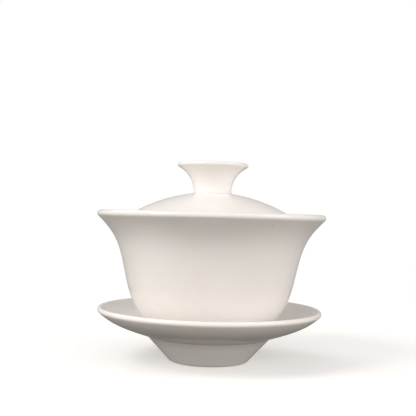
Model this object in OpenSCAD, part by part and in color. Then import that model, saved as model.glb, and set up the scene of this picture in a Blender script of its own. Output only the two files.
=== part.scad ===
// Gaiwan: a lidded tea bowl standing in the well of a high-footed saucer.
// Every piece is turned about +Z. The origin is the middle of the ring that the saucer stands on.
// Lengths are in millimetres. A lean is the steepness of a wall: 0 lies level and 90 stands upright.

/* [Lid] */
// Diameter of the lid at its edge
lid_d = 85; // [70:0.5:105]
// Height of the dome's crown above the corner of its edge
lid_rise = 15.4; // [10:0.1:24]
// Thickness of the lid's wall
lid_wall = 2.2; // [1.8:0.1:3.6]
// Radius of the two corners of the lid's edge
lid_corner_r = 0.4; // [0.2:0.1:0.8]

/* [Knob] */
// Diameter of the knob across its flared lip
knob_d = 31.2; // [24:0.2:40]
// Height of the knob's lip above the crown of the dome
knob_h = 12.8; // [11.6:0.1:20]
// Diameter of the knob's neck
knob_neck_d = 16.6; // [12:0.2:20]
// Radius of the fillet where the neck meets the dome
knob_fillet = 0.8; // [0.4:0.1:1.6]
// Thickness of the knob's wall, which also sets how round its lip is
knob_wall = 1.8; // [1.6:0.1:3]
// Depth of the hollow in the knob's top
knob_hollow = 10.5; // [8:0.1:11.5]
// Lean of the knob's outside just below its lip
knob_lip_lean = 30; // [20:1:55]

/* [Bowl] */
// Height of the bowl alone, from its foot ring to its rim
bowl_h = 54.2; // [44:0.1:68]
// How far the bowl's rim reaches out past the edge of the lid
rim_reach = 7.5; // [5:0.1:10]
// Lean of the flare just below the rim
rim_lean = 44; // [34:0.5:52]
// How far the belly lies inside the edge of the lid
belly_inset = 5.7; // [4:0.1:9]
// Height of the belly above the foot ring, where the wall is steepest
belly_h = 24.3; // [18:0.1:30]
// Lean of the wall at the belly
belly_lean = 77.7; // [72:0.1:84]
// Thickness of the wall at the flare, which also sets how round the rim is
bowl_wall = 2; // [1.4:0.1:3]
// Thickness of the bowl's floor
bowl_floor = 3; // [2:0.1:5]

/* [Bowl foot] */
// Diameter of the bowl's foot ring
bowl_foot_d = 38.4; // [30:0.2:48]
// Height of the foot ring below the bowl's floor
bowl_foot_h = 2.3; // [1.6:0.1:4]
// Width of the foot ring's wall
bowl_foot_wall = 2.6; // [2:0.1:4]
// Radius of the foot ring's rounded edges
foot_edge_r = 0.5; // [0.2:0.1:0.8]
// Radius of the fillets at the root of the foot ring
foot_root_r = 0.8; // [0.4:0.1:1.2]

/* [Saucer] */
// Diameter of the saucer
saucer_d = 98; // [84:0.5:120]
// Height of the saucer alone, from the table to its lip
saucer_h = 23.2; // [19:0.1:28]
// Thickness of the plate at its lip, which also sets how round the lip is
plate_wall = 2.4; // [1.8:0.1:3.4]
// Thickness of the plate over the foot and in the well
plate_floor = 3; // [2.4:0.1:4]
// Lean of the plate's underside next to the foot
plate_root_lean = 20; // [8:1:26]
// Lean of the plate's underside just below the lip
plate_lip_lean = 45; // [28:1:50]

/* [Saucer foot] */
// Diameter of the foot's outside where it meets the table
saucer_foot_d = 34.4; // [28:0.2:40]
// Height of the crease between the foot and the plate
saucer_foot_h = 11; // [8:0.1:14]
// Thickness of the foot's wall
saucer_foot_wall = 2.6; // [2:0.1:3.4]
// Radius of the foot's outer edge at the table
saucer_foot_edge_r = 1.8; // [0.5:0.1:2]

/* [Fits] */
// Gap under the lid's edge and under the bowl's foot ring
seat_gap = 0.1; // [0.05:0.05:0.4]
// Gap around the bowl's foot ring in the saucer's well
well_play = 1; // [0.5:0.1:2]
// Gap between the bowl's floor and the shoulder around the well
shoulder_gap = 0.5; // [0.3:0.1:1]
// Width of the plate from the edge of the well to the crease under it
shoulder_w = 7.2; // [5:0.1:9]
// How far the well's floor lies below the crease
well_sink = 0.3; // [0:0.1:1]

/* [Hidden] */
white_glaze = [0.95, 0.93, 0.90];
turn_fn = 128;
curve_steps = 20;
arc_steps = 8;
long = 100;
bowl_root_lean = 3;
well_draft = 0.8;
well_shoulder_r = 1.2;
funnel_top = 0.5;

// How far a curve keeps to its first and its last lean, as shares of its chord
plate_pulls = [0.34, 0.33];
apron_pulls = [0.35, 0.35];
bottom_pulls = [0.335, 0.35];
flare_pulls = [0.5, 0.4];
neck_pulls = [0.36, 0.4];
funnel_pulls = [0.45, 0.33];

saucer_foot_r = saucer_foot_d / 2;
bowl_foot_r = bowl_foot_d / 2;
well_r = bowl_foot_r + well_play;
well_z = saucer_foot_h - well_sink;
well_under_z = well_z - plate_floor;
shoulder = [well_r + well_draft, well_z + bowl_foot_h + seat_gap - shoulder_gap];
crease = [well_r + shoulder_w, saucer_foot_h];
saucer_foot_lean = atan2(crease[1], crease[0] - saucer_foot_r);
saucer_foot_in_r = saucer_foot_r - saucer_foot_wall / sin(saucer_foot_lean);
seam_in = [saucer_foot_in_r + well_under_z / tan(saucer_foot_lean), well_under_z];
plate_lip = [saucer_d / 2 - plate_wall / 2, saucer_h - plate_wall / 2];

bowl_z = well_z + seat_gap;
bowl_root = [bowl_foot_r + foot_root_r, bowl_foot_h];
belly = [lid_d / 2 - belly_inset, belly_h];
rim = [lid_d / 2 + rim_reach - bowl_wall / 2, bowl_h - bowl_wall / 2];

lid_corner = [lid_d / 2 - lid_corner_r, 0];
dome_out_r = (lid_corner[0] ^ 2 + lid_rise ^ 2 - lid_corner_r ^ 2) / (2 * (lid_rise - lid_corner_r));
dome_centre = [0, lid_rise - dome_out_r];
dome_edge_angle = acos(lid_corner[0] / (dome_out_r - lid_corner_r));
neck_r = knob_neck_d / 2;
neck_base_angle = acos((neck_r + knob_fillet) / (dome_out_r + knob_fillet));
knob_lip = [knob_d / 2 - knob_wall / 2, lid_rise + knob_h - knob_wall / 2];
hollow_bottom = [0, lid_rise + knob_h - knob_hollow];

// Lines that are turned into walls. Each runs outwards and up, with the inside of the wall on its left.
function unit(v) = v / norm(v);
function mix(a, b, t) = a + (b - a) * t;
function facing(lean) = [cos(lean), sin(lean)];
function left_of(d) = [-d[1], d[0]];
function reverse(points) = [for (i = [len(points) - 1:-1:0]) points[i]];
function tail(points) = [for (i = [1:len(points) - 1]) points[i]];

// The four control points of a curve that leaves a at one lean and reaches b at another
function curve(a, a_lean, b, b_lean, pulls) =
    let (chord = norm(b - a))
    [a, a + pulls[0] * chord * facing(a_lean), b - pulls[1] * chord * facing(b_lean), b];

function on_curve(c, t) =
    (1 - t) ^ 3 * c[0] + 3 * (1 - t) ^ 2 * t * c[1] + 3 * (1 - t) * t ^ 2 * c[2] + t ^ 3 * c[3];

function along_curve(c, t) =
    unit((1 - t) ^ 2 * (c[1] - c[0]) + 2 * (1 - t) * t * (c[2] - c[1]) + t ^ 2 * (c[3] - c[2]));

// Points along part of a curve, set off to its left by a wall that goes from wall_a to wall_b
function points_on(c, wall_a = 0, wall_b = 0, from = 0) =
    [for (i = [0:curve_steps])
        let (t = mix(from, 1, i / curve_steps))
        on_curve(c, t) + mix(wall_a, wall_b, t) * left_of(along_curve(c, t))];

function arc(centre, r, a, b, steps = arc_steps) =
    [for (i = [0:steps]) centre + r * facing(mix(a, b, i / steps))];

// The half-round end of a wall, without the two points it shares with the wall's sides
function lip(centre, wall, lean) =
    [for (i = [1:arc_steps * 2 - 1]) centre + wall / 2 * facing(lean - 90 + 180 * i / (arc_steps * 2))];

// The point where the outside of a wall meets its half-round end
function below_lip(centre, wall, lean) = centre + wall / 2 * facing(lean - 90);

// An arc in the corner b between a and c
function rounded(a, b, c, r) =
    let (
        u = unit(a - b),
        v = unit(c - b),
        half = acos(u * v) / 2,
        centre = b + unit(u + v) * r / sin(half),
        start = b + u * r / tan(half) - centre,
        end = b + v * r / tan(half) - centre,
        from = atan2(start[1], start[0]),
        turn = (atan2(end[1], end[0]) - from + 540) % 360 - 180
    )
    arc(centre, r, from, from + turn);

// Outer lines of the five pieces
plate_under = curve(crease, plate_root_lean, below_lip(plate_lip, plate_wall, plate_lip_lean),
    plate_lip_lean, plate_pulls);
bowl_bottom = curve(bowl_root, bowl_root_lean, belly, belly_lean, bottom_pulls);
bowl_flare = curve(belly, belly_lean, below_lip(rim, bowl_wall, rim_lean), rim_lean, flare_pulls);
fillet_centre = dome_centre + (dome_out_r + knob_fillet) * facing(neck_base_angle);
knob_neck = curve(fillet_centre - [knob_fillet, 0], 90, below_lip(knob_lip, knob_wall, knob_lip_lean),
    knob_lip_lean, neck_pulls);

// The lid comes down on the inside of the flare with whichever corner of its edge gets there first
lid_in_corner = lid_corner - (lid_wall - 2 * lid_corner_r) * facing(dome_edge_angle);
stand_off = bowl_wall + seat_gap + lid_corner_r;
seat = points_on(bowl_flare, stand_off, stand_off);
lid_z = bowl_z + max(lookup(lid_corner[0], seat), lookup(lid_in_corner[0], seat) - lid_in_corner[1]);

module turned(z, outline) {
    color(white_glaze)
        translate([0, 0, z])
            rotate_extrude($fn = turn_fn)
                polygon(outline);
}

// Shallow dome, its edge cut square to the wall and rounded at both corners
module lid_dome() {
    turned(lid_z, concat(
        arc(dome_centre, dome_out_r, 90, neck_base_angle),
        tail(arc(dome_centre, dome_out_r, neck_base_angle, dome_edge_angle, curve_steps)),
        tail(arc(lid_corner, lid_corner_r, dome_edge_angle, dome_edge_angle - 90)),
        arc(lid_in_corner, lid_corner_r, dome_edge_angle - 90, dome_edge_angle - 180),
        tail(arc(dome_centre, dome_out_r - lid_wall, dome_edge_angle, 90, curve_steps))
    ));
}

// Flared ring with a hollow top, its underside fitted to the dome
module lid_knob() {
    under = arc(dome_centre, dome_out_r, 90, neck_base_angle);
    fillet = arc(fillet_centre, knob_fillet, neck_base_angle + 180, 180);
    flare_in = points_on(knob_neck, knob_wall, knob_wall, funnel_top);
    funnel_end = along_curve(knob_neck, funnel_top);
    funnel_lean = atan2(funnel_end[1], funnel_end[0]);
    funnel = points_on(curve(hollow_bottom, 0, flare_in[0], funnel_lean, funnel_pulls));
    turned(lid_z, concat(
        under,
        tail(fillet),
        tail(points_on(knob_neck)),
        lip(knob_lip, knob_wall, knob_lip_lean),
        reverse(flare_in),
        tail(reverse(funnel))
    ));
}

// Bowl with a belly, a flared rim and a turned foot ring
module bowl() {
    ring_in_r = bowl_foot_r - bowl_foot_wall;
    turned(bowl_z, concat(
        [[0, bowl_foot_h]],
        rounded([0, bowl_foot_h], [ring_in_r, bowl_foot_h], [ring_in_r, 0], foot_root_r),
        rounded([ring_in_r, long], [ring_in_r, 0], [long, 0], foot_edge_r),
        rounded([0, 0], [bowl_foot_r, 0], [bowl_foot_r, long], foot_edge_r),
        rounded([bowl_foot_r, 0], [bowl_foot_r, bowl_foot_h], [long, bowl_foot_h], foot_root_r),
        tail(points_on(bowl_bottom)),
        tail(points_on(bowl_flare)),
        lip(rim, bowl_wall, rim_lean),
        reverse(points_on(bowl_flare, bowl_wall, bowl_wall)),
        tail(reverse(points_on(bowl_bottom, bowl_floor, bowl_wall))),
        [[0, bowl_foot_h + bowl_floor]]
    ));
}

// Shallow dish whose sunk well holds the bowl's foot ring
module saucer_plate() {
    top = points_on(plate_under, plate_floor, plate_wall);
    apron = points_on(curve(shoulder, plate_root_lean / 2, top[0], plate_root_lean, apron_pulls));
    turned(0, concat(
        [[0, well_under_z], seam_in],
        points_on(plate_under),
        lip(plate_lip, plate_wall, plate_lip_lean),
        reverse(top),
        [for (i = [curve_steps - 1:-1:curve_steps / 2]) apron[i]],
        rounded(apron[curve_steps / 2], shoulder, [well_r, well_z], well_shoulder_r),
        rounded(shoulder, [well_r, well_z], [0, well_z], foot_root_r),
        [[0, well_z]]
    ));
}

// High conical ring, its top fitted to the underside of the plate
module saucer_foot() {
    turned(0, concat(
        rounded(seam_in, [saucer_foot_in_r, 0], [long, 0], foot_edge_r),
        rounded([0, 0], [saucer_foot_r, 0], crease, saucer_foot_edge_r),
        [crease, seam_in]
    ));
}

lid_dome();
lid_knob();
bowl();
saucer_plate();
saucer_foot();
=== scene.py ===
import math

import bmesh
import bpy
from mathutils import Matrix, Vector
from mathutils.geometry import interpolate_bezier


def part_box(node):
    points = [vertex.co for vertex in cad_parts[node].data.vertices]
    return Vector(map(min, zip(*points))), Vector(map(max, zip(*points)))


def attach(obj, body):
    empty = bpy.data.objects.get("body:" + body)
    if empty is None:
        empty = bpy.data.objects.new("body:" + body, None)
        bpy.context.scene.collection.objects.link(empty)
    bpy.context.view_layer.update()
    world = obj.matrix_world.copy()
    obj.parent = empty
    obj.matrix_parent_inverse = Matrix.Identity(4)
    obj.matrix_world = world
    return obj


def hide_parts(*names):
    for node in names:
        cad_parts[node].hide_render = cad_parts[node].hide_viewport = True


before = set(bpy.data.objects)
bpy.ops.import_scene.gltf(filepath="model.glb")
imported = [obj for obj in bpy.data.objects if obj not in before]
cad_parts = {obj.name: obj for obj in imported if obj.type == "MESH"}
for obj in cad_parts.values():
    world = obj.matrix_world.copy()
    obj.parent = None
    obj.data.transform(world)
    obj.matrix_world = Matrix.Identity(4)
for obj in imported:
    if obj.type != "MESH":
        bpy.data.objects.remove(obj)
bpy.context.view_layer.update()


# ------------------------------------------------------------------------------------------
# The tea bowl. It is thin white porcelain, pressed and turned on a wheel, with a belly, a
# flared rim and a low foot ring. It is dipped in clear white glaze, and the foot ring is
# wiped bare, because it stands on that ring in the kiln.

mm = 0.001
bowl_low, bowl_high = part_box("bowl")
bowl_foot_r = 19.2 * mm
bowl_foot_h = 2.3 * mm
bowl_foot_wall = 2.6 * mm
bowl_floor = 3 * mm
bowl_wall = 2 * mm
belly = Vector((36.8 * mm, bowl_low.z + 24.3 * mm))
lip_r = 1.5 * mm
root_fillet = 0.8 * mm
ring_edge = 0.5 * mm

# Leans of the outside in degrees, and how far each stretch holds them before it bends, as
# shares of its length; the lip starts to swell at this step of the inner flare
root_lean = 3
belly_lean = 77.7
rim_lean = 44
bottom_pulls = (0.335, 0.35)
flare_pulls = (0.5, 0.4)
swell_pulls = (0.3, 0.3)
swell_from = 35

# Depth of the glaze in millimetres: none on a wiped ring, thin over a lip, thick in a corner, where the
# darker glaze also stands for painted shade
bare, thin, even, damp_and_shaded, deep_and_shaded = 0.0, 0.14, 0.30, 0.48, 0.55

# How high a standing ring is wiped, and how wide the glaze pools on a flat floor, darkening it as
# painted shade next to the corner
wiped_h = 0.9 * mm
pool_shade_w = 3 * mm


def facing(lean):
    """The way along the section that has this lean in degrees."""
    return Vector((math.cos(math.radians(lean)), math.sin(math.radians(lean))))


def lean_of(way):
    """The lean in degrees of a way along the section: 0 is outwards, 90 is up."""
    return math.degrees(math.atan2(way.y, way.x))


def bend(start, start_lean, end, end_lean, pulls, steps=40, walls=(0, 0)):
    """A smooth stretch of a section that leaves and arrives at two leans, set in by a wall."""
    chord = (end - start).length
    first = start + facing(start_lean) * chord * pulls[0]
    last = end - facing(end_lean) * chord * pulls[1]
    line = interpolate_bezier(start, first, last, end, steps + 1)
    ways = [(b - a).normalized() for a, b in zip(line[:-1], line[1:])]
    turns = [(a + b).normalized() for a, b in zip(ways[:-1], ways[1:])]
    ways = [facing(start_lean), *turns, facing(end_lean)]
    thick = [walls[0] + (walls[1] - walls[0]) * i / steps for i in range(steps + 1)]
    return [p + Vector((-w.y, w.x)) * t for p, w, t in zip(line, ways, thick)]


def sweep(centre, radius, start, end, steps=12):
    """A round stretch of a section, between two directions in degrees."""
    return [centre + facing(start + (end - start) * i / steps) * radius for i in range(steps + 1)]


def clay():
    """An empty section, whose points know the depth of the glaze on them, which also sets how much
    painted shade darkens them.
    """
    section = bmesh.new()
    section.verts.layers.float.new("glaze_depth_and_shade")
    return section


def draw(section, points, glaze, glaze_end=None):
    """Carries the section on through these points, and returns the new ones."""
    depth = section.verts.layers.float["glaze_depth_and_shade"]
    section.verts.ensure_lookup_table()
    tip = section.verts[-1] if len(section.verts) else None
    made = []
    for i, (r, z) in enumerate(points):
        if tip and (tip.co - Vector((r, 0, z))).length < 0.002 * mm:
            continue
        vert = section.verts.new((r, 0, z))
        share = i / max(len(points) - 1, 1)
        vert[depth] = glaze if glaze_end is None else glaze + (glaze_end - glaze) * share
        if tip:
            section.edges.new((tip, vert))
        tip = vert
        made.append(vert)
    return made


def soften(section, corners, reach, steps=5):
    """Rounds the drawn corners, as a wet sponge does, from this reach on either side of each."""
    bmesh.ops.bevel(section, geom=corners, offset=reach, offset_type="OFFSET", affect="VERTICES",
                    segments=steps, profile=0.5, material=-1)


def turn(section, name, steps=192):
    """Turns the section about the wheel's axis and makes the piece."""
    bmesh.ops.spin(section, geom=section.verts[:] + section.edges[:], cent=(0, 0, 0), axis=(0, 0, 1),
                   dvec=(0, 0, 0), angle=math.tau, steps=steps, use_merge=True, use_duplicate=False)
    bmesh.ops.remove_doubles(section, verts=section.verts[:], dist=0.0005 * mm)
    bmesh.ops.recalc_face_normals(section, faces=section.faces[:])
    for face in section.faces:
        face.smooth = True
    mesh = bpy.data.meshes.new(name)
    section.to_mesh(mesh)
    section.free()
    piece = bpy.data.objects.new(name, mesh)
    bpy.context.scene.collection.objects.link(piece)
    return piece


def at(r, z):
    """A point of a section: how far out from the axis, and how high above the table."""
    return Vector((r, z))


bowl_root = at(bowl_foot_r + root_fillet, bowl_low.z + bowl_foot_h)
even_walls = (bowl_wall, bowl_wall)
rim_centre = at(bowl_high.x - bowl_wall / 2, bowl_high.z - bowl_wall / 2)
rim_start = rim_centre + facing(rim_lean - 90) * bowl_wall / 2

# The wall is even up to the point where it swells into a fuller, rolled lip
inner_flare = bend(belly, belly_lean, rim_start, rim_lean, flare_pulls, walls=even_walls)
inner_flare = inner_flare[:swell_from]
inner_lean = lean_of(inner_flare[-1] - inner_flare[-2])
lip_centre = at(bowl_high.x - lip_r, bowl_high.z - lip_r)
lip_start = lip_centre + facing(rim_lean - 90) * lip_r
lip_end = lip_centre + facing(rim_lean + 90) * lip_r
ring_in_r = bowl_foot_r - bowl_foot_wall

section = clay()
# Both corners at the root of the foot ring are darker, as glaze pooling and as painted shade
draw(section, [at(0, bowl_root.y), at(ring_in_r - pool_shade_w, bowl_root.y)], even)
inner_root = draw(section, [at(ring_in_r, bowl_root.y)], deep_and_shaded)
draw(section, [at(ring_in_r, bowl_low.z + wiped_h)], even)
ring = draw(section, [at(ring_in_r, bowl_low.z), at(bowl_foot_r, bowl_low.z)], bare)
draw(section, [at(bowl_foot_r, bowl_low.z + wiped_h)], even)
outer_root = draw(section, [at(bowl_foot_r, bowl_root.y)], deep_and_shaded)
draw(section, bend(bowl_root, root_lean, belly, belly_lean, bottom_pulls), even)
draw(section, bend(belly, belly_lean, lip_start, rim_lean, flare_pulls), even, thin)
draw(section, sweep(lip_centre, lip_r, rim_lean - 90, rim_lean + 90, steps=16), thin)
swell = bend(lip_end, rim_lean + 180, inner_flare[-1], inner_lean + 180, swell_pulls, steps=8)
draw(section, swell, thin)
draw(section, inner_flare[::-1], thin, even)
inner_bottom = bend(bowl_root, root_lean, belly, belly_lean, bottom_pulls, walls=(bowl_floor, bowl_wall))
draw(section, inner_bottom[::-1], even)
draw(section, [at(0, bowl_root.y + bowl_floor)], even)
soften(section, ring, ring_edge)
soften(section, inner_root + outer_root, root_fillet)
bowl = turn(section, "tea_bowl")


def add(tree, kind, **inputs):
    """Adds a shader node of this kind and sets its own sockets."""
    node = tree.nodes.new("ShaderNode" + kind)
    for key, value in inputs.items():
        node.inputs[key.replace("_", " ")].default_value = value
    return node


def white_glaze(name, seed):
    """Clear glaze over white clay: darker and warmer where it pools, which is also painted shade in
    corners and creases, and wiped off the rings.
    """
    material = bpy.data.materials.new(name)
    material.use_nodes = True
    tree = material.node_tree
    link = tree.links.new

    # A hard glassy skin, and white clay under it that light soaks into a little
    shader = tree.nodes["Principled BSDF"]
    shader.inputs["IOR"].default_value = 1.5
    shader.inputs["Subsurface Weight"].default_value = 0.1
    shader.inputs["Subsurface Radius"].default_value = (1.0, 0.75, 0.55)
    shader.inputs["Subsurface Scale"].default_value = 1.5 * mm

    place = tree.nodes.new("ShaderNodeTexCoord")
    shift = add(tree, "Mapping", Location=(seed, seed * 0.7, seed * 1.3))
    link(place.outputs["Object"], shift.inputs["Vector"])
    where = shift.outputs["Vector"]

    # Where the glaze stops, with a slightly ragged edge
    depth = tree.nodes.new("ShaderNodeAttribute")
    depth.attribute_name = "glaze_depth_and_shade"
    runs = add(tree, "TexNoise", Scale=260.0, Detail=3.0)
    link(where, runs.inputs["Vector"])
    ragged = tree.nodes.new("ShaderNodeMath")
    ragged.operation = "MULTIPLY_ADD"
    link(runs.outputs["Fac"], ragged.inputs[0])
    ragged.inputs[1].default_value = 0.12
    link(depth.outputs["Fac"], ragged.inputs[2])
    covered = add(tree, "MapRange", From_Min=0.11, From_Max=0.16)
    link(ragged.outputs["Value"], covered.inputs["Value"])

    # The white isn't quite even, because the glaze is a little thicker in places
    clouds = add(tree, "TexNoise", Scale=30.0, Detail=2.0)
    link(where, clouds.inputs["Vector"])
    tone = tree.nodes.new("ShaderNodeValToRGB")
    tone.color_ramp.elements[0].position = 0.35
    tone.color_ramp.elements[0].color = (0.862, 0.836, 0.806, 1)
    tone.color_ramp.elements[1].position = 0.68
    tone.color_ramp.elements[1].color = (0.892, 0.872, 0.848, 1)
    link(clouds.outputs["Fac"], tone.inputs["Fac"])

    # Glaze pooling in a corner, darker and warmer: partly real pooling, partly painted shade in the
    # corners and creases
    pooled_and_shaded = add(tree, "MapRange", From_Min=0.36, From_Max=0.62)
    link(ragged.outputs["Value"], pooled_and_shaded.inputs["Value"])
    pool_and_shade = tree.nodes.new("ShaderNodeMix")
    pool_and_shade.data_type = "RGBA"
    link(pooled_and_shaded.outputs["Result"], pool_and_shade.inputs["Factor"])
    link(tone.outputs["Color"], pool_and_shade.inputs["A"])
    pool_and_shade.inputs["B"].default_value = (0.740, 0.705, 0.650, 1)

    # Rare faint specks of iron in the clay
    cells = add(tree, "TexVoronoi", Scale=420.0)
    link(where, cells.inputs["Vector"])
    size = tree.nodes.new("ShaderNodeSeparateColor")
    link(cells.outputs["Color"], size.inputs["Color"])
    rare = add(tree, "MapRange", From_Min=0.965, From_Max=1.0, To_Min=0.0, To_Max=0.17)
    link(size.outputs["Red"], rare.inputs["Value"])
    dot = tree.nodes.new("ShaderNodeMath")
    dot.operation = "LESS_THAN"
    link(cells.outputs["Distance"], dot.inputs[0])
    link(rare.outputs["Result"], dot.inputs[1])
    faint = tree.nodes.new("ShaderNodeMath")
    faint.operation = "MULTIPLY"
    link(dot.outputs["Value"], faint.inputs[0])
    faint.inputs[1].default_value = 0.35
    speck = tree.nodes.new("ShaderNodeMix")
    speck.data_type = "RGBA"
    link(faint.outputs["Value"], speck.inputs["Factor"])
    link(pool_and_shade.outputs["Result"], speck.inputs["A"])
    speck.inputs["B"].default_value = (0.46, 0.38, 0.29, 1)

    # The bare clay of the wiped rings
    grain = add(tree, "TexNoise", Scale=2600.0, Detail=2.0)
    link(where, grain.inputs["Vector"])
    clay_tone = tree.nodes.new("ShaderNodeValToRGB")
    clay_tone.color_ramp.elements[0].color = (0.72, 0.67, 0.60, 1)
    clay_tone.color_ramp.elements[1].color = (0.86, 0.82, 0.76, 1)
    link(grain.outputs["Fac"], clay_tone.inputs["Fac"])
    skin = tree.nodes.new("ShaderNodeMix")
    skin.data_type = "RGBA"
    link(covered.outputs["Result"], skin.inputs["Factor"])
    link(clay_tone.outputs["Color"], skin.inputs["A"])
    link(speck.outputs["Result"], skin.inputs["B"])
    link(skin.outputs["Result"], shader.inputs["Base Color"])

    # The glaze shines, a little less in places, and the bare clay doesn't
    breath = add(tree, "MapRange", To_Min=0.06, To_Max=0.12)
    link(clouds.outputs["Fac"], breath.inputs["Value"])
    rough = tree.nodes.new("ShaderNodeMix")
    link(covered.outputs["Result"], rough.inputs["Factor"])
    rough.inputs["A"].default_value = 0.75
    link(breath.outputs["Result"], rough.inputs["B"])
    link(rough.outputs["Result"], shader.inputs["Roughness"])

    # Slow waves in the glaze, and the tooth of the bare clay
    ripple = add(tree, "TexNoise", Scale=75.0, Detail=1.0)
    link(where, ripple.inputs["Vector"])
    waves = add(tree, "Bump", Strength=0.25, Distance=0.12 * mm)
    link(ripple.outputs["Fac"], waves.inputs["Height"])
    tooth = add(tree, "MapRange", To_Min=0.35, To_Max=0.02)
    link(covered.outputs["Result"], tooth.inputs["Value"])
    peel = add(tree, "Bump", Distance=0.05 * mm)
    link(tooth.outputs["Result"], peel.inputs["Strength"])
    link(grain.outputs["Fac"], peel.inputs["Height"])
    link(waves.outputs["Normal"], peel.inputs["Normal"])
    link(peel.outputs["Normal"], shader.inputs["Normal"])
    return material


bowl.data.materials.append(white_glaze("bowl_glaze", 0.1))
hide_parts("bowl")
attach(bowl, "bowl")


# ------------------------------------------------------------------------------------------
# The saucer's plate. It is a shallow pressed dish with a thick rounded lip. Its middle is
# sunk into a flat well with a steep edge, which keeps the bowl's foot ring in place.

plate_low, plate_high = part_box("saucer_plate")
foot_low, foot_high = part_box("saucer_foot")
plate_wall = 2.4 * mm
plate_floor = 3 * mm
plate_root_lean = 20
plate_lip_lean = 45
plate_pulls = (0.34, 0.33)
apron_pulls = (0.35, 0.35)
foot_play = 1 * mm
well_depth = 1.9 * mm
well_slope = 0.8 * mm
shoulder_edge = 0.9 * mm
well_fillet = 0.8 * mm
seam_r = 20.8 * mm

# The glaze that pools under the plate, painted darker as shade beside the foot, thins out over this many
# steps
pool_shade_steps = 8
well_r = bowl_foot_r + foot_play
well_z = plate_low.z + plate_floor
shoulder = at(well_r + well_slope, well_z + well_depth)
crease = at(foot_high.x, foot_high.z)
seam_in = at(seam_r, plate_low.z)
plate_lip = at(plate_high.x - plate_wall / 2, plate_high.z - plate_wall / 2)
plate_lip_start = plate_lip + facing(plate_lip_lean - 90) * plate_wall / 2
plate_bend = (crease, plate_root_lean, plate_lip_start, plate_lip_lean, plate_pulls)
plate_under = bend(*plate_bend)
plate_top = bend(*plate_bend, walls=(plate_floor, plate_wall))

section = clay()
draw(section, [at(0, plate_low.z), seam_in], even)
# The crease under the plate is darker, as glaze pooling and as painted shade
draw(section, [crease], deep_and_shaded)
draw(section, plate_under[1:pool_shade_steps], damp_and_shaded, even)
draw(section, plate_under[pool_shade_steps:], even, thin)
draw(section, sweep(plate_lip, plate_wall / 2, plate_lip_lean - 90, plate_lip_lean + 90), thin)
draw(section, plate_top[::-1], thin, even)
apron = bend(shoulder, plate_root_lean / 2, plate_top[0], plate_root_lean, apron_pulls)
draw(section, apron[1:-1][::-1], even)
edge = draw(section, [shoulder], thin)
# The well's corner is darker, as glaze pooling and as painted shade
corner = draw(section, [at(well_r, well_z)], deep_and_shaded)
draw(section, [at(well_r - pool_shade_w, well_z), at(0, well_z)], even)
soften(section, edge, shoulder_edge)
soften(section, corner, well_fillet)
plate = turn(section, "saucer_dish")
plate.data.materials.append(white_glaze("saucer_glaze", 0.37))
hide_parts("saucer_plate")
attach(plate, "saucer")


# ------------------------------------------------------------------------------------------
# The saucer's foot. It is a high cone, thrown as a ring and stuck under the plate with liquid
# clay, which leaves a small fillet in the crease. The flat ring it stands on is wiped bare.

foot_r = 17.2 * mm
foot_wall = 2.6 * mm
foot_lean = lean_of(crease - at(foot_r, 0))
foot_in_r = foot_r - foot_wall / math.sin(math.radians(foot_lean))
foot_edge = 0.75 * mm
fillet_reach = 0.7 * mm
fillet_pulls = (0.6, 0.6)

# The liquid clay that joins them reaches a little way into the plate
luting = at(-0.2 * mm, 0.2 * mm)
up_cone = facing(foot_lean)
cone_end = crease - up_cone * fillet_reach
plate_end = crease + facing(plate_root_lean) * fillet_reach

# Lengths along the cone where the depth of the glaze changes: the edges of the wiped ring, the
# first run of glaze outside it, and the start of the darker pools in the corners, painted shade in the
# crease
wiped_in = 1.4 * mm
wiped_out = 1.1 * mm
first_run = 2.5 * mm
inner_pool_shade = 1.5 * mm
outer_pool_shade = 4 * mm

section = clay()
draw(section, [seam_in], deep_and_shaded)
draw(section, [seam_in - up_cone * inner_pool_shade], even)
draw(section, [at(foot_in_r, foot_low.z) + up_cone * wiped_in], even)
inside_edge = draw(section, [at(foot_in_r, foot_low.z)], bare)
outside_edge = draw(section, [at(foot_r, foot_low.z)], bare)
draw(section, [at(foot_r, foot_low.z) + up_cone * wiped_out], thin)
draw(section, [at(foot_r, foot_low.z) + up_cone * first_run], even)
# Towards the crease the glaze darkens, as glaze pooling and as painted shade under the plate
draw(section, [cone_end - up_cone * outer_pool_shade], even)
draw(section, [cone_end], damp_and_shaded)
fillet = bend(cone_end, foot_lean, plate_end, plate_root_lean, fillet_pulls, steps=8)
draw(section, fillet[1:], deep_and_shaded)
draw(section, [plate_end + luting, crease + luting], deep_and_shaded)
section.verts.ensure_lookup_table()
section.edges.new((section.verts[-1], section.verts[0]))
soften(section, inside_edge, ring_edge)
soften(section, outside_edge, foot_edge)
foot = turn(section, "saucer_foot_ring")
foot.data.materials.append(white_glaze("foot_glaze", 0.59))
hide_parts("saucer_foot")
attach(foot, "saucer")


# ------------------------------------------------------------------------------------------
# The lid's dome. It is a thin cap of a sphere, whose edge is cut square, barely rounded, and
# rests on the inside of the bowl's flare. It is glazed all over, thinly along the edge.

dome_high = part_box("lid_dome")[1]
lid_wall = 2.2 * mm
lid_rise = 15.4 * mm
lid_corner_r = 0.4 * mm
neck_r = 8.3 * mm
neck_fillet = 0.8 * mm

# The glaze that pools round the neck, painted darker as shade in the corner, thins out over this many
# degrees of the dome
neck_pool_shade = 1.2
corner_r = dome_high.x - lid_corner_r
dome_r = (corner_r ** 2 + lid_rise ** 2 - lid_corner_r ** 2) / (2 * (lid_rise - lid_corner_r))
dome_centre = at(0, dome_high.z - dome_r)
edge_angle = math.degrees(math.acos(corner_r / (dome_r - lid_corner_r)))
out_corner = dome_centre + facing(edge_angle) * (dome_r - lid_corner_r)
in_corner = dome_centre + facing(edge_angle) * (dome_r - lid_wall + lid_corner_r)
neck_angle = math.degrees(math.acos((neck_r + neck_fillet) / (dome_r + neck_fillet)))

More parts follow.
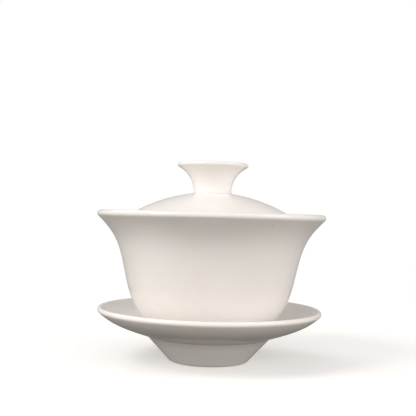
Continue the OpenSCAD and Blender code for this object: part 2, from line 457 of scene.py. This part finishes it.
section = clay()
draw(section, sweep(dome_centre, dome_r, 90, neck_angle, steps=12), deep_and_shaded)
draw(section, sweep(dome_centre, dome_r, neck_angle, neck_angle - neck_pool_shade, steps=4), deep_and_shaded, even)
draw(section, sweep(dome_centre, dome_r, neck_angle - neck_pool_shade, edge_angle, steps=48), even, thin)
draw(section, sweep(out_corner, lid_corner_r, edge_angle, edge_angle - 90, steps=6), thin)
draw(section, sweep(in_corner, lid_corner_r, edge_angle - 90, edge_angle - 180, steps=6), thin)
draw(section, sweep(dome_centre, dome_r - lid_wall, edge_angle, 90, steps=60), thin, even)
dome = turn(section, "lid_cap")
dome.data.materials.append(white_glaze("lid_glaze", 0.83))
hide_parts("lid_dome")
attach(dome, "lid")


# ------------------------------------------------------------------------------------------
# The lid's knob. It is a flared ring with a hollow top, turned apart and stuck on the dome
# with liquid clay. Turned upside down, the lid stands on it.

knob_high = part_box("lid_knob")[1]
knob_wall = 1.8 * mm
knob_hollow = 10.5 * mm
knob_lip_lean = 30
neck_pulls = (0.36, 0.4)
hollow_pulls = (0.45, 0.33)
knob_lip = at(knob_high.x - knob_wall / 2, knob_high.z - knob_wall / 2)
knob_lip_start = knob_lip + facing(knob_lip_lean - 90) * knob_wall / 2
fillet_centre = dome_centre + facing(neck_angle) * (dome_r + neck_fillet)
neck_start = fillet_centre - at(neck_fillet, 0)
neck = (neck_start, 90, knob_lip_start, knob_lip_lean, neck_pulls)
neck_in = bend(*neck, walls=(knob_wall, knob_wall))
middle = len(neck_in) // 2
middle_lean = lean_of(neck_in[middle + 1] - neck_in[middle - 1])

section = clay()
# Under and round the neck the glaze is darker, as glaze pooling and as painted shade in the corner
draw(section, sweep(dome_centre, dome_r, 90, neck_angle, steps=12), deep_and_shaded)
draw(section, sweep(fillet_centre, neck_fillet, neck_angle + 180, 180, steps=8), deep_and_shaded, even)
draw(section, bend(*neck), even, thin)
draw(section, sweep(knob_lip, knob_wall / 2, knob_lip_lean - 90, knob_lip_lean + 90, steps=16), thin)
draw(section, neck_in[:middle - 1:-1], thin, even)
hollow = bend(at(0, knob_high.z - knob_hollow), 0, neck_in[middle], middle_lean, hollow_pulls)
# The hollow darkens towards its bottom, as glaze pooling and as painted shade in the recess
draw(section, hollow[::-1], even, deep_and_shaded)
knob = turn(section, "lid_knob_ring")
knob.data.materials.append(white_glaze("knob_glaze", 1.21))
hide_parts("lid_knob")
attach(knob, "lid")


# ------------------------------------------------------------------------------------------
# The table that it stands on: one plain pale sheet of paper, which fades into the white room
# with distance, so that no line shows behind the object.

sheet = bmesh.new()
bmesh.ops.create_circle(sheet, cap_ends=True, radius=12, segments=96)
table_mesh = bpy.data.meshes.new("table")
sheet.to_mesh(table_mesh)
sheet.free()
table = bpy.data.objects.new("table", table_mesh)
bpy.context.scene.collection.objects.link(table)

# The paper throws no light back at the object, so the underside of the saucer stays in shade
table.visible_diffuse = False
table.visible_glossy = False

paper = bpy.data.materials.new("pale_paper")
paper.use_nodes = True
tree = paper.node_tree
sheet_shader = tree.nodes["Principled BSDF"]
sheet_shader.inputs["Base Color"].default_value = (0.93, 0.925, 0.92, 1)
sheet_shader.inputs["Roughness"].default_value = 1.0
sheet_shader.inputs["Specular IOR Level"].default_value = 0.0
sheet_shader.inputs["Emission Color"].default_value = (1, 1, 1, 1)
sheet_shader.inputs["Emission Strength"].default_value = 0.25
white = add(tree, "Emission", Strength=1.0)
place = tree.nodes.new("ShaderNodeTexCoord")
away = tree.nodes.new("ShaderNodeVectorMath")
away.operation = "LENGTH"
tree.links.new(place.outputs["Object"], away.inputs[0])
fade = add(tree, "MapRange", From_Min=0.10, From_Max=0.34)
fade.interpolation_type = "SMOOTHSTEP"
tree.links.new(away.outputs["Value"], fade.inputs["Value"])
blend = tree.nodes.new("ShaderNodeMixShader")
tree.links.new(fade.outputs["Result"], blend.inputs["Fac"])
tree.links.new(sheet_shader.outputs["BSDF"], blend.inputs[1])
tree.links.new(white.outputs["Emission"], blend.inputs[2])
tree.links.new(blend.outputs["Shader"], tree.nodes["Material Output"].inputs["Surface"])
table_mesh.materials.append(paper)


# ------------------------------------------------------------------------------------------
# Soft studio light in a white room. The walls are bright in front of the object and dimmer
# behind it, and little light comes from below. Two windows on the left give the glaze its
# shine, and a broad panel fills in from the right.

scene = bpy.context.scene
world = bpy.data.worlds.new("white_room")
world.use_nodes = True
tree = world.node_tree
way = tree.nodes.new("ShaderNodeTexCoord")
part = tree.nodes.new("ShaderNodeSeparateXYZ")
tree.links.new(way.outputs["Object"], part.inputs["Vector"])
rise = add(tree, "MapRange", From_Min=-1.0, From_Max=1.0)
tree.links.new(part.outputs["Z"], rise.inputs["Value"])
behind = add(tree, "MapRange", From_Min=-0.05, From_Max=0.6)
tree.links.new(part.outputs["Y"], behind.inputs["Value"])
walls = tree.nodes.new("ShaderNodeMix")
walls.data_type = "RGBA"
tree.links.new(behind.outputs["Result"], walls.inputs["Factor"])

# Light of the walls by height, from straight down (-1) to straight up (1)
front_wall = [(-1.0, (0.030, 0.028, 0.025)), (-0.35, (0.240, 0.226, 0.200)),
              (0.1, (1.000, 0.948, 0.926)), (0.9, (0.200, 0.193, 0.188))]
back_wall = [(-1.0, (0.030, 0.028, 0.025)), (-0.35, (0.132, 0.124, 0.110)),
             (0.1, (0.350, 0.338, 0.330)), (0.9, (0.200, 0.193, 0.188))]
for wall, socket in ((front_wall, "A"), (back_wall, "B")):
    ramp = tree.nodes.new("ShaderNodeValToRGB")
    ramp.color_ramp.elements.new(0.5)
    ramp.color_ramp.elements.new(0.7)
    for stop, (z, light) in zip(ramp.color_ramp.elements, wall):
        stop.position = (z + 1) / 2
        stop.color = (*light, 1)
    tree.links.new(rise.outputs["Result"], ramp.inputs["Fac"])
    tree.links.new(ramp.outputs["Color"], walls.inputs[socket])

room = tree.nodes["Background"]
room.inputs["Strength"].default_value = 1.48
tree.links.new(walls.outputs["Result"], room.inputs["Color"])
seen = add(tree, "Background", Color=(1, 1, 1, 1))
ray = tree.nodes.new("ShaderNodeLightPath")
choice = tree.nodes.new("ShaderNodeMixShader")
tree.links.new(ray.outputs["Is Camera Ray"], choice.inputs["Fac"])
tree.links.new(room.outputs["Background"], choice.inputs[1])
tree.links.new(seen.outputs["Background"], choice.inputs[2])
tree.links.new(choice.outputs["Shader"], tree.nodes["World Output"].inputs["Surface"])
scene.world = world
scene.view_settings.view_transform = "Standard"


def panel(name, size, power, position, target=(0, 0, 0.045)):
    """A rectangular soft light that faces the object."""
    data = bpy.data.lights.new(name, "AREA")
    data.shape = "RECTANGLE"
    data.size, data.size_y = size
    data.energy = power
    data.color = (1.0, 0.975, 0.955)
    light = bpy.data.objects.new(name, data)
    light.location = position
    light.rotation_mode = "QUATERNION"
    light.rotation_quaternion = (Vector(target) - Vector(position)).to_track_quat("-Z", "Y")
    scene.collection.objects.link(light)


panel("left_window", size=(0.40, 0.50), power=4.0, position=(-0.62, -0.42, 0.62))
panel("left_back_window", size=(0.35, 0.45), power=1.1, position=(-0.50, 0.45, 0.70))
panel("right_panel", size=(0.50, 0.60), power=2.2, position=(0.72, -0.30, 0.42))


# ------------------------------------------------------------------------------------------
# The camera stands a third of a metre in front, level and just under the height of the rim.
# It is rolled a little anticlockwise, so the object leans slightly to the right in the view.

camera_away = 0.338
camera_height = 0.0626
level = Matrix.Rotation(math.radians(90), 4, "X")
roll = Matrix.Rotation(math.radians(1.5), 4, "Z")
camera_data = bpy.data.cameras.new("camera")
camera_data.sensor_width = 36
camera_data.lens = 66.25
camera_data.shift_x = -0.009
camera_data.shift_y = 0.024
camera = bpy.data.objects.new("camera", camera_data)
scene.collection.objects.link(camera)
camera.matrix_world = Matrix.Translation((0, -camera_away, camera_height)) @ level @ roll
scene.camera = camera
